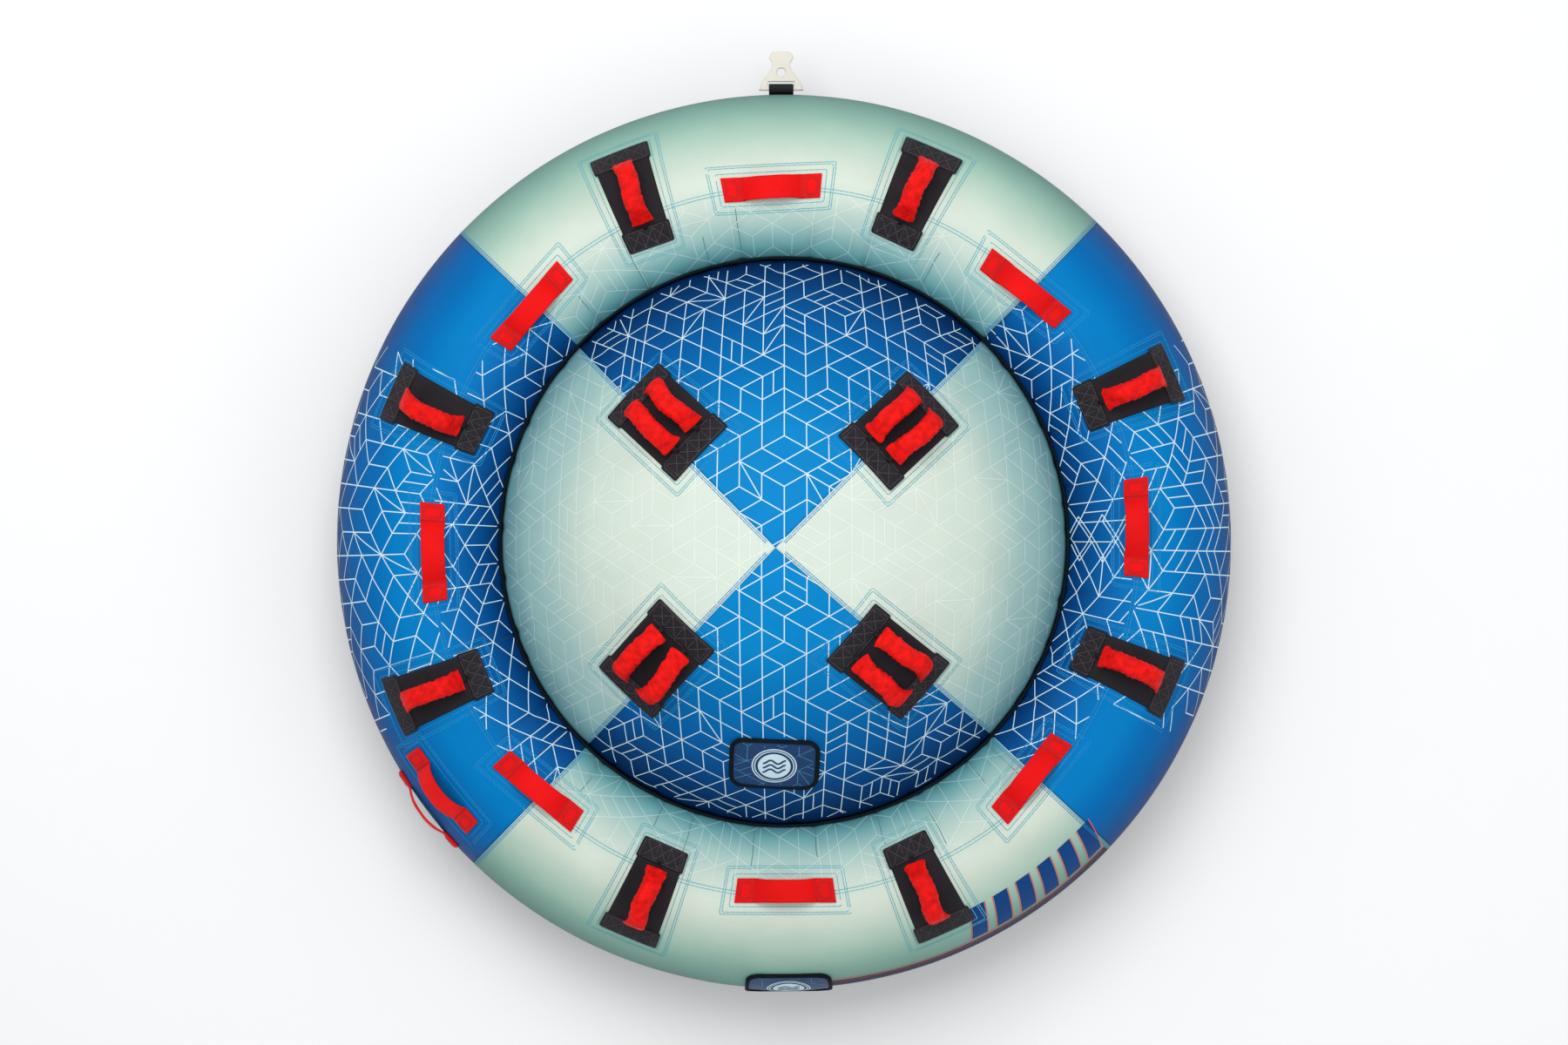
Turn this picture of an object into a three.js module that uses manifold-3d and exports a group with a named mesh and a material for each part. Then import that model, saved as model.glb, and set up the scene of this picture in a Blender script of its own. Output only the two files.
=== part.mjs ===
// Round deck tube for towing behind a boat: inflated ring and dome in a zipped fabric cover,
// padded grips, webbing handles and a moulded tow hook. Millimetres, +Z up, +Y towards the tow hook.
import * as THREE from 'three';
import { mergeVertices } from 'three/addons/utils/BufferGeometryUtils.js';
import Module from 'manifold-3d';

const wasm = await Module();
wasm.setup();

// ---- driving dimensions -------------------------------------------------------------------
const RING = { R: 730, r: 220 };                 // section centre radius, section radius
const SEAM_PHI = -38.6;                          // section angle where the ring panel stops
const SEAM_AZ = [-43, 45.5, 136.5, 226];         // panel joints round the tube
const SEAM_GAP = 0.4;                            // half gap between neighbouring panels
const SKIN = 2;                                  // cover fabric
const DOME = { rho: 720, zc: -26.5, edge: 584 };
const CROSS = new THREE.Vector2(-17, -10);       // where the dome seams meet
const BLADDER = { ring: 213, dome: 712.5, wall: 3 };
const PORT = { cover: 52, bladder: 30 };         // valve window radii
const PAD = { lift: 1.2, thick: 4, corner: 14 };
const RING_PAD = { length: 226, width: 105 };
const DOME_PAD = { length: 218, width: 144, spread: 29 };
const GRIP = { length: 150, radius: 22, tip: 4.5, lift: 9.2, rise: 50, power: 2.6 };
const STRAP = { width: 50, thick: 2.6, half: 101, tab: 62, rise: 27, upper: 20, lower: 14 };
const FLAP = { length: 183, width: 134, corner: 24, thick: 4 };
const HOOK = { x: -6, y: 963, z: 235, thick: 9 };
const ZIP = { from: 210, to: 330, phi: 101, width: 28 };

// azimuth, section angle, turn about the local normal, sideways rest lean of the grip
const RING_PADS = [
  [23.8, 14, -1.2, 3], [69.6, 11, -4, 0], [113.5, 13, -3.5, -3], [159.5, 10.5, -4.7, -12],
  [203.1, 14, -0.7, 3], [248.6, 14, -1.8, -3], [292.3, 12, 2.8, 3], [339.7, 7.5, -3.7, -7],
];
// azimuth, distance from the tube's axis, turn, outward lean of the two grips
const DOME_PADS = [[44.2, 326, -1.1, 0], [134.1, 342, 2.7, 1], [222.4, 352, 4.8, 6], [311.1, 322, 9.2, 10]];
const STRAPS = [
  [2.3, -1, -2], [46.5, -3, 5], [92, 0, 1], [137, -5.5, 2],
  [181.7, -2, 0], [225.5, -3, 5], [270.2, -3, 0], [316.4, -7, 4.5],
];

const COLOURS = {
  mint: 0xc8d8cb, blue: 0x0a6fae, navy: 0x20304a, black: 0x262226, red: 0xd8201f,
  bladder: 0x3a4a58, plastic: 0xe6e3d8, zip: 0x1d1d22,
};

// ---- surfaces -----------------------------------------------------------------------------
const rad = THREE.MathUtils.degToRad;
const vec = (x, y, z) => new THREE.Vector3(x, y, z);

function ringPoint(az, phi, off = 0) {
  const q = RING.R + (RING.r + off) * Math.sin(phi);
  return vec(q * Math.cos(az), q * Math.sin(az), RING.r + (RING.r + off) * Math.cos(phi));
}

// A chart takes distances s (first axis), w (second axis) and a height h off the cover.
function ringChart(azDeg, phiDeg, turnDeg = 0, radialFirst = false) {
  const az = rad(azDeg), phi = rad(phiDeg), turn = rad(turnDeg) * -1;
  const q = RING.R + RING.r * Math.sin(phi);
  return (s, w, h) => {
    const [a, b] = radialFirst ? [-w, s] : [s, w];
    const t = a * Math.cos(turn) - b * Math.sin(turn);
    const m = a * Math.sin(turn) + b * Math.cos(turn);
    const straight = m + (t * t * Math.cos(phi)) / (2 * q);
    return ringPoint(az + t / q, phi + straight / RING.r, h);
  };
}

function domeChart(azDeg, reach, turnDeg = 0, radialFirst = false) {
  const az = rad(azDeg), turn = rad(turnDeg) * -1, tilt = Math.asin(reach / DOME.rho);
  const n = vec(Math.sin(tilt) * Math.cos(az), Math.sin(tilt) * Math.sin(az), Math.cos(tilt));
  const t = vec(-Math.sin(az), Math.cos(az), 0);
  const m = new THREE.Vector3().crossVectors(t, n);
  return (s, w, h) => {
    const [p, q] = radialFirst ? [-w, s] : [s, w];
    const a = p * Math.cos(turn) - q * Math.sin(turn);
    const b = p * Math.sin(turn) + q * Math.cos(turn);
    const len = Math.hypot(a, b) || 1e-9;
    const dir = t.clone().multiplyScalar(a / len).addScaledVector(m, b / len);
    const u = n.clone().multiplyScalar(Math.cos(len / DOME.rho));
    u.addScaledVector(dir, Math.sin(len / DOME.rho));
    return u.multiplyScalar(DOME.rho + h).add(vec(0, 0, DOME.zc));
  };
}

// ---- solids -------------------------------------------------------------------------------
function solid(points, faces) {
  let volume = 0;
  for (const [a, b, c] of faces) {
    volume += points[a].dot(new THREE.Vector3().crossVectors(points[b], points[c]));
  }
  const geo = new THREE.BufferGeometry();
  geo.setAttribute('position', new THREE.Float32BufferAttribute(points.flatMap((p) => p.toArray()), 3));
  geo.setIndex(faces.flatMap(([a, b, c]) => (volume < 0 ? [a, c, b] : [a, b, c])));
  geo.computeVertexNormals();
  return geo;
}

// Closed slab over a grid of (nu + 1) x (nv + 1) points; at(i, j, 0) is the underside, 1 the top.
function slab(nu, nv, at) {
  const points = [], faces = [];
  const id = (i, j, k) => (k * (nu + 1) + i) * (nv + 1) + j;
  for (let k = 0; k < 2; k++) {
    for (let i = 0; i <= nu; i++) for (let j = 0; j <= nv; j++) points.push(at(i, j, k));
  }
  const quad = (a, b, c, d) => faces.push([a, b, c], [a, c, d]);
  for (let i = 0; i < nu; i++) {
    for (let j = 0; j < nv; j++) {
      quad(id(i, j, 1), id(i + 1, j, 1), id(i + 1, j + 1, 1), id(i, j + 1, 1));
      quad(id(i, j, 0), id(i, j + 1, 0), id(i + 1, j + 1, 0), id(i + 1, j, 0));
    }
  }
  for (let i = 0; i < nu; i++) {
    quad(id(i, 0, 0), id(i + 1, 0, 0), id(i + 1, 0, 1), id(i, 0, 1));
    quad(id(i + 1, nv, 0), id(i, nv, 0), id(i, nv, 1), id(i + 1, nv, 1));
  }
  for (let j = 0; j < nv; j++) {
    quad(id(nu, j, 0), id(nu, j + 1, 0), id(nu, j + 1, 1), id(nu, j, 1));
    quad(id(0, j + 1, 0), id(0, j, 0), id(0, j, 1), id(0, j + 1, 1));
  }
  return solid(points, faces);
}

// Distances from -half to half with a grid line where the rounded corner starts.
function stops(half, corner, n) {
  const inner = half - corner;
  return [-half, ...Array.from({ length: n + 1 }, (_, i) => -inner + (2 * inner * i) / n), half];
}

function roundedPatch(chart, length, width, corner, n, m, base, thick) {
  const us = stops(length / 2, corner, n), vs = stops(width / 2, corner, m);
  return slab(us.length - 1, vs.length - 1, (i, j, k) => {
    let u = us[i], v = vs[j];
    const du = Math.abs(u) - (length / 2 - corner), dv = Math.abs(v) - (width / 2 - corner);
    if (du > 1e-6 && dv > 1e-6) {
      const f = Math.max(du, dv) / Math.hypot(du, dv);
      u = Math.sign(u) * (length / 2 - corner + du * f);
      v = Math.sign(v) * (width / 2 - corner + dv * f);
    }
    return chart(u, v, base + k * thick);
  });
}

function toManifold(geo) {
  const g = geo.clone();
  g.deleteAttribute('normal');
  g.deleteAttribute('uv');
  const merged = mergeVertices(g, 1e-4);
  return new wasm.Manifold(new wasm.Mesh({
    numProp: 3,
    vertProperties: new Float32Array(merged.attributes.position.array),
    triVerts: new Uint32Array(merged.index.array),
  }));
}

function fromManifold(body) {
  const mesh = body.getMesh();
  const geo = new THREE.BufferGeometry();
  geo.setAttribute('position', new THREE.BufferAttribute(new Float32Array(mesh.vertProperties), 3));
  geo.setIndex(new THREE.BufferAttribute(new Uint32Array(mesh.triVerts), 1));
  geo.computeVertexNormals();
  return geo;
}

const cut = (a, ...tools) => fromManifold(tools.reduce((m, t) => m.subtract(toManifold(t)), toManifold(a)));
const join = (a, b) => fromManifold(toManifold(a).add(toManifold(b)));

// Turned profile (pairs of radius, height) about +Z, listed either way round.
function turned(profile, segments) {
  const path = profile.map(([r, z]) => new THREE.Vector2(r, z));
  if (THREE.ShapeUtils.area(path) < 0) path.reverse();
  const geo = new THREE.LatheGeometry(path, segments);
  geo.rotateX(Math.PI / 2);
  return geo;
}

const arc = (from, to, n, at) => Array.from({ length: n + 1 }, (_, i) => at(rad(from + ((to - from) * i) / n)));
const ringSection = (radius) => (phi) => [RING.R + radius * Math.sin(phi), RING.r + radius * Math.cos(phi)];

function extruded(outline, holes, depth) {
  const shape = new THREE.Shape(outline.map(([x, y]) => new THREE.Vector2(x, y)));
  holes.forEach((h) => shape.holes.push(new THREE.Path(h.map(([x, y]) => new THREE.Vector2(x, y)))));
  const geo = new THREE.ExtrudeGeometry(shape, { depth, bevelEnabled: false });
  geo.translate(0, 0, -depth / 2);
  return geo;
}

const circle = (cx, cy, r, n) => arc(0, 360 - 360 / n, n - 1, (a) => [cx + r * Math.cos(a), cy + r * Math.sin(a)]);

// ---- assembly -----------------------------------------------------------------------------
const group = new THREE.Group();
group.name = 'towable_tube';

function add(name, geometry, colour, roughness = 0.7) {
  const mesh = new THREE.Mesh(geometry, new THREE.MeshStandardMaterial({
    color: COLOURS[colour], roughness, metalness: 0,
  }));
  mesh.name = name;
  group.add(mesh);
}

// Local frame at a chart's centre, lowered by depth: columns downhill, sideways, outward.
function place(geo, chart, depth) {
  const o = chart(0, 0, 0), n = chart(0, 0, 1).sub(o).normalize();
  const down = chart(0, 0.5, 0).sub(chart(0, -0.5, 0));
  down.addScaledVector(n, -down.dot(n)).normalize();
  const side = new THREE.Vector3().crossVectors(n, down);
  const frame = new THREE.Matrix4().makeBasis(down, side, n).setPosition(o.addScaledVector(n, -depth));
  return geo.applyMatrix4(frame);
}

const valves = {
  ring: { chart: ringChart(270.6, 69), depth: RING.r - BLADDER.ring },
  dome: { chart: domeChart(267.5, 452), depth: DOME.rho - BLADDER.dome },
};

function window(valve, radius) {
  const tool = new THREE.CylinderGeometry(radius, radius, 60, 24);
  return place(tool.rotateX(Math.PI / 2), valve.chart, valve.depth);
}

// Ring panels and dome panels, four of each.
const SIDES = ['right', 'front', 'left', 'rear'];
SIDES.forEach((side, k) => {
  const from = SEAM_AZ[k], to = k < 3 ? SEAM_AZ[k + 1] : SEAM_AZ[0] + 360;
  const q = RING.R - RING.r;
  const trim = THREE.MathUtils.radToDeg(SEAM_GAP / q);
  let ringPanel = slab(12, 8, (i, j, t) => {
    const az = from + trim + ((to - from - 2 * trim) * i) / 12;
    const phi = SEAM_PHI + ((89.85 - SEAM_PHI) * j) / 8;
    return ringPoint(rad(az), rad(phi), (t - 1) * SKIN);
  });
  const a = rad(from), b = rad(to), n = 6;
  const out = (az) => new THREE.Vector2(DOME.edge * Math.cos(az), DOME.edge * Math.sin(az)).sub(CROSS);
  const inset = out(a).normalize().add(out(b).normalize()).multiplyScalar(SEAM_GAP);
  let domePanel = slab(n, n, (i, j, t) => {
    const reach = Math.max(i, j) / n;
    const turn = i === j ? 0.5 : i > j ? 0.5 * (j / i) : 1 - 0.5 * (i / j);
    const p = out(a + (b - a) * turn).multiplyScalar(reach).add(CROSS).addScaledVector(inset, 1 - reach * 0.3);
    const rho = DOME.rho + (t - 1) * SKIN;
    const scale = rho / DOME.rho;
    return vec(p.x * scale, p.y * scale, DOME.zc + Math.sqrt(rho ** 2 - p.lengthSq() * scale ** 2));
  });
  if (side === 'rear') {
    ringPanel = cut(ringPanel, window(valves.ring, PORT.cover));
    domePanel = cut(domePanel, window(valves.dome, PORT.cover));
  }
  add(`ring_cover_${side}`, ringPanel, k % 2 ? 'mint' : 'blue');
  add(`dome_cover_${side}`, domePanel, k % 2 ? 'blue' : 'mint');
});

add('bottom_cover', turned([
  [0, 0], ...arc(180, 90.15, 5, ringSection(RING.r)),
  ...arc(90.15, 180, 5, ringSection(RING.r - 3)), [0, 3],
], 48), 'navy');

// Piping bead in the valley between ring and dome.
add('seam_piping', turned(arc(0, 360, 5, (a) => [589.5 + 5 * Math.cos(a), 397.2 + 5 * Math.sin(a)]), 48), 'black');

// Bladders: thin walled, each open only at its valve port.
const ringShell = (radius, n, segments) => turned(arc(0, 360, n, ringSection(radius)), segments);
add('ring_bladder', cut(
  ringShell(BLADDER.ring, 14, 48), ringShell(BLADDER.ring - BLADDER.wall, 7, 24), window(valves.ring, PORT.bladder),
), 'bladder', 0.4);

function cushion(wall, n, segments) {
  const rho = BLADDER.dome - wall, top = Math.asin((572 - wall) / rho) * (180 / Math.PI);
  return turned([
    ...arc(0, top, n, (a) => [rho * Math.sin(a), DOME.zc + rho * Math.cos(a)]),
    ...arc(-46, -126, 4, ringSection(226 + wall)),
    [520 - wall, 8 + wall], [0, 8 + wall],
  ], segments);
}
add('dome_bladder', cut(cushion(0, 8, 48), cushion(BLADDER.wall, 4, 24), window(valves.dome, PORT.bladder)), 'bladder', 0.4);

for (const [name, valve] of Object.entries(valves)) {
  const collar = turned([
    [17, 1], [29.4, 1], [29.4, -9], [21, -9], [21, -26], [17, -26], [17, 1],
  ], 16);
  const cap = turned([[0, -6], [15.6, -6], [15.6, 1.4], [25, 1.4], [25, 4.4], [0, 4.4]], 16);
  add(`${name}_valve`, place(collar, valve.chart, valve.depth), 'plastic', 0.45);
  add(`${name}_valve_cap`, place(cap, valve.chart, valve.depth), 'plastic', 0.45);
  add(`${name}_valve_flap`,
    roundedPatch(valve.chart, FLAP.length, FLAP.width, FLAP.corner, 4, 3, PAD.lift, FLAP.thick), 'navy');
}

// Arched grip between two points off the pad, leaning sideways about the line through its ends.
const GRIP_STOPS = [0, 0.05, 0.14, 0.27, 0.42, 0.58, 0.73, 0.86, 0.95, 1];
function grip(chart, offset, leanDeg) {
  const a = chart(-GRIP.length / 2, offset, GRIP.lift), b = chart(GRIP.length / 2, offset, GRIP.lift);
  const along = b.clone().sub(a), span = along.length();
  along.normalize();
  const mid = a.clone().add(b).multiplyScalar(0.5);
  const up = chart(0, offset, GRIP.lift).sub(chart(0, offset, 0)).normalize();
  const bulge = chart(0, offset, GRIP.lift).sub(mid).length();
  const side = new THREE.Vector3().crossVectors(up, along);
  up.applyAxisAngle(along, rad(leanDeg));
  side.applyAxisAngle(along, rad(leanDeg));
  const points = [], faces = [], sides = 7;
  GRIP_STOPS.forEach((x) => {
    const e = 2 * x - 1, height = (GRIP.rise + bulge) * (1 - Math.abs(e) ** GRIP.power);
    const slope = ((GRIP.rise + bulge) * -GRIP.power * Math.abs(e) ** (GRIP.power - 1) * Math.sign(e) * 2) / span;
    const tangent = along.clone().addScaledVector(up, slope).normalize();
    const normal = new THREE.Vector3().crossVectors(tangent, side);
    const t = Math.min(1, Math.min(x, 1 - x) / 0.22);
    const radius = GRIP.tip + (GRIP.radius - GRIP.tip) * t * t * (3 - 2 * t);
    const centre = a.clone().addScaledVector(along, x * span).addScaledVector(up, height);
    for (let s = 0; s < sides; s++) {
      const w = (2 * Math.PI * s) / sides;
      points.push(centre.clone().addScaledVector(side, radius * Math.cos(w))
        .addScaledVector(normal, radius * Math.sin(w)));
    }
  });
  const n = GRIP_STOPS.length;
  for (let i = 0; i < n - 1; i++) {
    for (let s = 0; s < sides; s++) {
      const p = i * sides + s, q = i * sides + ((s + 1) % sides);
      faces.push([p, q, q + sides], [p, q + sides, p + sides]);
    }
  }
  for (let s = 1; s < sides - 1; s++) {
    faces.push([0, s + 1, s], [(n - 1) * sides, (n - 1) * sides + s, (n - 1) * sides + s + 1]);
  }
  return solid(points, faces);
}

RING_PADS.forEach(([az, phi, turn, lean], k) => {
  const chart = ringChart(az, phi, turn, true);
  const { length, width } = RING_PAD;
  add(`ring_pad_${k + 1}`, roundedPatch(chart, length, width, PAD.corner, 6, 2, PAD.lift, PAD.thick), 'black', 0.9);
  add(`ring_grip_${k + 1}`, grip(chart, 0, lean), 'red', 0.8);
});

DOME_PADS.forEach(([az, reach, turn, lean], k) => {
  const chart = domeChart(az, reach, turn, true);
  const { length, width, spread } = DOME_PAD;
  add(`dome_pad_${k + 1}`, roundedPatch(chart, length, width, PAD.corner, 4, 3, PAD.lift, PAD.thick), 'black', 0.9);
  add(`dome_grip_${k + 1}a`, grip(chart, -spread, -lean), 'red', 0.8);
  add(`dome_grip_${k + 1}b`, grip(chart, spread, lean), 'red', 0.8);
});

// Flat webbing handles, sewn at both ends and bowed off the cover between.
function strap(chart, rise = STRAP.rise) {
  const { half, tab, width, thick } = STRAP;
  const stations = [[half, 0], [tab, 0], [50, 0.58], [36, 0.9], [12, 1]];
  const list = [...stations.map(([s, f]) => [-s, f]), ...[...stations].reverse()];
  return slab(list.length - 1, 2, (i, j, k) => {
    const [s, f] = list[i];
    return chart(s, (j - 1) * (width / 2), PAD.lift + f * rise + k * thick);
  });
}
STRAPS.forEach(([az, phi, turn], k) => add(`strap_handle_${k + 1}`, strap(ringChart(az, phi, turn)), 'red'));
add('side_strap_upper', strap(ringChart(216, 43, 3), STRAP.upper), 'red');
add('side_strap_lower', strap(ringChart(217, 78, 0), STRAP.lower), 'red');

// Tow point: webbing loop sewn down the wall, and the moulded hook plate that turns in it.
const alongX = (geo) => geo.rotateX(Math.PI / 2).rotateZ(Math.PI / 2).translate(HOOK.x, 0, 0);
const loopEye = alongX(extruded(circle(HOOK.y, HOOK.z, 9.8, 20), [circle(HOOK.y, HOOK.z, 7.2, 20)], 52));
const tail = alongX(extruded([
  ...arc(82, 114, 6, ringSection(RING.r + 1.4)), ...arc(114, 82, 6, ringSection(RING.r + 4.8)),
], [], 52));
add('tow_webbing', join(loopEye, tail), 'black', 0.85);

const PROFILE = [
  [41, 958.5], [44, 962], [44.5, 966.5], [41, 975.5], [34, 986], [27, 995], [21.5, 1004], [19, 1013],
  [21, 1020.5], [25, 1027], [24.5, 1033], [20, 1038.5], [12, 1040.5],
];
const plate = extruded(
  [...PROFILE, ...[...PROFILE].reverse().map(([x, y]) => [-x, y])],
  [circle(0, 997, 9, 16), [[-28, 968], [28, 968], [28, 977], [-28, 977]]], HOOK.thick,
);
add('tow_hook', plate.translate(HOOK.x, 0, HOOK.z), 'plastic', 0.5);

// Zip round the lower wall at the rear, with its slider parked at one end.
const zipSpan = ZIP.to - ZIP.from, zipHalf = ZIP.width / 2 / RING.r;
add('zip_chain', slab(16, 1, (i, j, k) => ringPoint(
  rad(ZIP.from + (zipSpan * i) / 16), rad(ZIP.phi) + (2 * j - 1) * zipHalf, PAD.lift + 2 * k,
)), 'zip');
const zipChart = ringChart(ZIP.to - 2.5, ZIP.phi);
add('zip_slider', join(
  roundedPatch(zipChart, 24, 13, 4, 1, 1, 4, 6),
  roundedPatch((s, w, h) => zipChart(s + 16, w, h), 40, 8, 3, 1, 1, 7, 2.2),
), 'plastic', 0.4);

export default group;
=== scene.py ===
"""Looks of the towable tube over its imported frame. Metres, +Z up, +Y to the tow hook."""

import random
from math import asin, atan2, copysign, cos, degrees, exp, hypot, pi, sin, sqrt
from math import radians as rad

import bpy
from mathutils import Matrix, Vector, noise


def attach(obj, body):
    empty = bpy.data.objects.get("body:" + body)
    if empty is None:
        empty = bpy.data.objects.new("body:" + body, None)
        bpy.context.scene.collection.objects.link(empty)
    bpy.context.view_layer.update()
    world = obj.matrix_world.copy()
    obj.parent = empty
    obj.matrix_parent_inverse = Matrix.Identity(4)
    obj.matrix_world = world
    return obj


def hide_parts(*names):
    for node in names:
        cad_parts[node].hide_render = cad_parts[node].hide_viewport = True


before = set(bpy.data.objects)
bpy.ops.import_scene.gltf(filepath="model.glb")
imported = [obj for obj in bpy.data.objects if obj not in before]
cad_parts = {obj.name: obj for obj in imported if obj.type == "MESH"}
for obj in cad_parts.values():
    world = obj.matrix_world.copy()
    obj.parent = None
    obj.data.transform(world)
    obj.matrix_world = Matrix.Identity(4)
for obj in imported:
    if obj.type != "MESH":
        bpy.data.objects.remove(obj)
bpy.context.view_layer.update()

# ---- the object's own measures ----
RING_R, RING_r = 0.730, 0.220
SEAM_PHI = -38.6
SEAM_AZ = [-43.0, 45.5, 136.5, 226.0]
DOME_RHO, DOME_Z, DOME_EDGE = 0.720, -0.0265, 0.584
CROSS = (-0.017, -0.010)
LIFT = 0.0012
SIDES = ["right", "front", "left", "rear"]
# pads: azimuth, section angle or reach from the axis, turn, lean of the grips
RING_PADS = [(23.8, 14, -1.2, 3), (69.6, 11, -4, 0), (113.5, 13, -3.5, -3),
             (159.5, 10.5, -4.7, -12), (203.1, 14, -0.7, 3), (248.6, 14, -1.8, -3),
             (292.3, 12, 2.8, 3), (339.7, 7.5, -3.7, -7)]
DOME_PADS = [(44.2, 0.326, -1.1, 0), (134.1, 0.342, 2.7, 1), (222.4, 0.352, 4.8, 6),
             (311.1, 0.322, 9.2, 10)]
RING_PAD_SIZE, DOME_PAD_SIZE = (0.226, 0.105), (0.218, 0.144)
# webbing handles on the crest: azimuth, section angle, turn
STRAPS = [(2.3, -1, -2), (46.5, -3, 5), (92, 0, 1), (137, -5.5, 2),
          (181.7, -2, 0), (225.5, -3, 5), (270.2, -3, 0), (316.4, -7, 4.5)]
GRIP_LENGTH, GRIP_LIFT, GRIP_RISE, GRIP_POWER = 0.150, 0.0092, 0.050, 2.6
# radii at which flat prints are wrapped round the ring
INNER_R, CREASE_R, CREST_R, WALL_R, ZIP_R = 0.70, 0.68, 0.86, 0.94, 0.946
FRAME_OFFSETS = (0.008, 0.020, 0.0245)
MINT, BLUE = 0, 1


def rough_at(x, y, z):
    return noise.noise(Vector((x, y, z)))


def ease(a, b, x):
    """Smooth step from 0 at a to 1 at b."""
    t = min(1.0, max(0.0, (x - a) / (b - a)))
    return t * t * (3 - 2 * t)


# ---- camera and light ----
scene = bpy.context.scene
scene.view_settings.view_transform = "Standard"


def add_object(name, data):
    obj = bpy.data.objects.new(name, data)
    scene.collection.objects.link(obj)
    return obj


cam_data = bpy.data.cameras.new("camera")
cam_data.lens = 73.07
cam = add_object("camera", cam_data)
cam.location = (0.0, 0.040, 7.0)
scene.camera = cam


def area_light(name, at, size, power, target=(0, 0, 0.3)):
    data = bpy.data.lights.new(name, "AREA")
    data.size, data.energy = size, power
    light = add_object(name, data)
    light.location = at
    light.rotation_euler = (Vector(target) - Vector(at)).to_track_quat("-Z", "Y").to_euler()


area_light("overhead", (-0.5, 1.7, 4.8), 2.8, 128)
area_light("fill", (2.8, -2.2, 3.6), 2.5, 18)
world = bpy.data.worlds.new("studio")
scene.world = world
world.use_nodes = True
sky = world.node_tree.nodes["Background"].inputs
sky["Color"].default_value = (0.97, 0.985, 1.0, 1)
sky["Strength"].default_value = 0.66


# ---- materials ----
def linear(rgb):
    shares = [v / 255 for v in rgb]
    return tuple(c / 12.92 if c <= 0.04045 else ((c + 0.055) / 1.055) ** 2.4 for c in shares) + (1,)


class Shader:
    """A node material, wired by short calls."""

    def __init__(self, name, roughness, spec, **sockets):
        self.mat = bpy.data.materials.new(name)
        self.mat.use_nodes = True
        self.tree = self.mat.node_tree
        self.bsdf = self.tree.nodes["Principled BSDF"]
        self.bsdf.inputs["Roughness"].default_value = roughness
        self.bsdf.inputs["Specular IOR Level"].default_value = spec
        for key, value in sockets.items():
            self.bsdf.inputs[key.replace("_", " ")].default_value = value
        self.coord = self.tree.nodes.new("ShaderNodeTexCoord")

    def link(self, a, b):
        self.tree.links.new(a, b)

    def math(self, op, a, b=None):
        node = self.tree.nodes.new("ShaderNodeMath")
        node.operation = op
        for k, value in enumerate((a, b)):
            if value is None:
                continue
            if isinstance(value, (int, float)):
                node.inputs[k].default_value = value
            else:
                self.link(value, node.inputs[k])
        return node.outputs[0]

    def noise(self, scale, detail):
        node = self.tree.nodes.new("ShaderNodeTexNoise")
        node.inputs["Scale"].default_value = scale
        node.inputs["Detail"].default_value = detail
        self.link(self.coord.outputs["Object"], node.inputs["Vector"])
        return node.outputs["Fac"]

    def wave(self, scale, direction):
        node = self.tree.nodes.new("ShaderNodeTexWave")
        node.bands_direction = direction
        node.inputs["Scale"].default_value = scale
        self.link(self.coord.outputs["UV"], node.inputs["Vector"])
        return node.outputs["Fac"]

    def weave(self, scale):
        return self.math("MULTIPLY", self.wave(scale, "X"), self.wave(scale, "Y"))

    def ramp(self, fac, stops):
        node = self.tree.nodes.new("ShaderNodeValToRGB")
        elements = node.color_ramp.elements
        while len(elements) < len(stops):
            elements.new(0.5)
        for element, (at, colour) in zip(elements, stops):
            element.position = at
            element.color = colour
        self.link(fac, node.inputs["Fac"])
        return node.outputs["Color"]

    def tint(self, colour, fac, low=0.9, high=1.08):
        """colour, multiplied by a grey that varies with fac."""
        grey = self.ramp(fac, [(0.3, (low, low, low, 1)), (0.7, (high, high, high, 1))])
        node = self.tree.nodes.new("ShaderNodeMix")
        node.data_type, node.blend_type = "RGBA", "MULTIPLY"
        node.inputs["Factor"].default_value = 1
        if isinstance(colour, tuple):
            node.inputs["A"].default_value = colour
        else:
            self.link(colour, node.inputs["A"])
        self.link(grey, node.inputs["B"])
        return node.outputs["Result"]

    def colour(self, out):
        self.link(out, self.bsdf.inputs["Base Color"])
        return self

    def rough(self, fac, low, high):
        node = self.tree.nodes.new("ShaderNodeMapRange")
        node.inputs["To Min"].default_value = low
        node.inputs["To Max"].default_value = high
        self.link(fac, node.inputs["Value"])
        self.link(node.outputs[0], self.bsdf.inputs["Roughness"])
        return self

    def bump(self, *layers):
        """layers of (height output, distance in metres)."""
        last = None
        for height, distance in layers:
            node = self.tree.nodes.new("ShaderNodeBump")
            node.inputs["Strength"].default_value = 1.0
            node.inputs["Distance"].default_value = distance
            self.link(height, node.inputs["Height"])
            if last:
                self.link(last, node.inputs["Normal"])
            last = node.outputs["Normal"]
        self.link(last, self.bsdf.inputs["Normal"])
        return self


FADE_FROM, FADE_SPAN, FADE_REACH = 45, 150, 0.60


def reach_and_height(s):
    sep = s.tree.nodes.new("ShaderNodeSeparateXYZ")
    s.link(s.coord.outputs["Object"], sep.inputs[0])
    x, y, z = sep.outputs
    squares = s.math("ADD", s.math("MULTIPLY", x, x), s.math("MULTIPLY", y, y))
    return s.math("SQRT", squares), z


def section_angle(s):
    """Angle round the ring's section as 0..1 for -45..105 degrees."""
    reach, z = reach_and_height(s)
    angle = s.math("ARCTAN2", s.math("SUBTRACT", reach, RING_R), s.math("SUBTRACT", z, RING_r))
    return s.math("DIVIDE", s.math("ADD", angle, rad(FADE_FROM)), rad(FADE_SPAN))


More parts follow.
